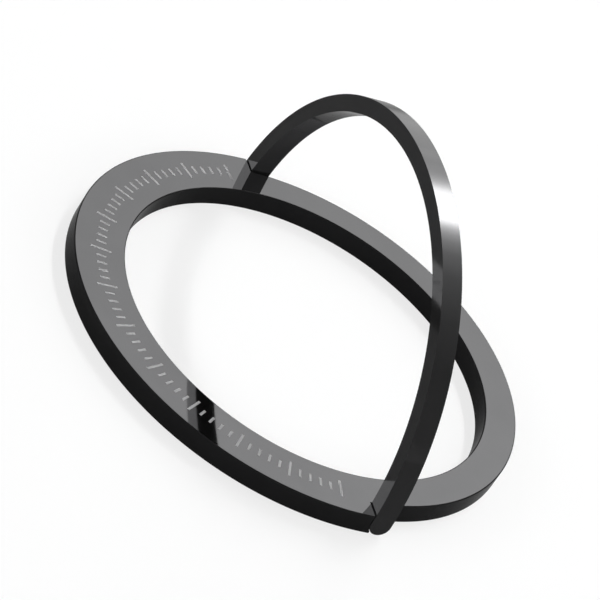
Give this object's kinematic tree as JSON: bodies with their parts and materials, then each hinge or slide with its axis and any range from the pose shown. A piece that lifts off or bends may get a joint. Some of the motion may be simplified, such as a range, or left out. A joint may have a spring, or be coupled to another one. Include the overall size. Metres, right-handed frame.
{
  "type": "magnetic phone ring stand",
  "caption": "Slim magnetic phone ring in polished black metal: a flat round ring whose stepped half carries a half-round stand that folds flush round it.",
  "frame": {"origin": "on the ring's axis, in the plane of the soft pad's face that meets the phone", "axes": "+Z along the ring's axis, away from the phone; +Y along the hinge line; -X towards the full half, +X towards the cut-back half that the stand folds round"},
  "size_m": [0.0558, 0.058, 0.029],
  "materials": {
    "black_metal": "polished black plating on a zinc alloy casting",
    "soft_pad": "matt silicone skin",
    "pin_steel": "ground steel",
    "washer_plastic": "plain low-wear plastic",
    "yoke_steel": "rolled steel strip",
    "magnet_nickel": "nickel plated"
  },
  "bodies": {
    "ring": {"base_ring": "black_metal", "phone_pad": "soft_pad", "friction_washer_left": "washer_plastic", "friction_washer_right": "washer_plastic", "yoke_cut_half": "yoke_steel", "yoke_full_half": "yoke_steel", "magnet_cut_1": "magnet_nickel", "magnet_cut_2": "magnet_nickel", "magnet_cut_3": "magnet_nickel", "magnet_cut_4": "magnet_nickel", "magnet_cut_5": "magnet_nickel", "magnet_cut_6": "magnet_nickel", "magnet_cut_7": "magnet_nickel", "magnet_cut_8": "magnet_nickel", "magnet_full_1": "magnet_nickel", "magnet_full_2": "magnet_nickel", "magnet_full_3": "magnet_nickel", "magnet_full_4": "magnet_nickel", "magnet_full_5": "magnet_nickel", "magnet_full_6": "magnet_nickel", "magnet_full_7": "magnet_nickel", "magnet_full_8": "magnet_nickel"},
    "stand": {"stand_loop": "black_metal", "hinge_pin_left": "pin_steel", "hinge_pin_right": "pin_steel"}
  },
  "joints": [
    {"name": "stand_fold", "type": "hinge", "parent": "ring", "child": "stand", "pos_m": [0.0014, 0, 0.0014], "axis": [0, 1, 0], "range_deg": [-5, 90]}
  ]
}
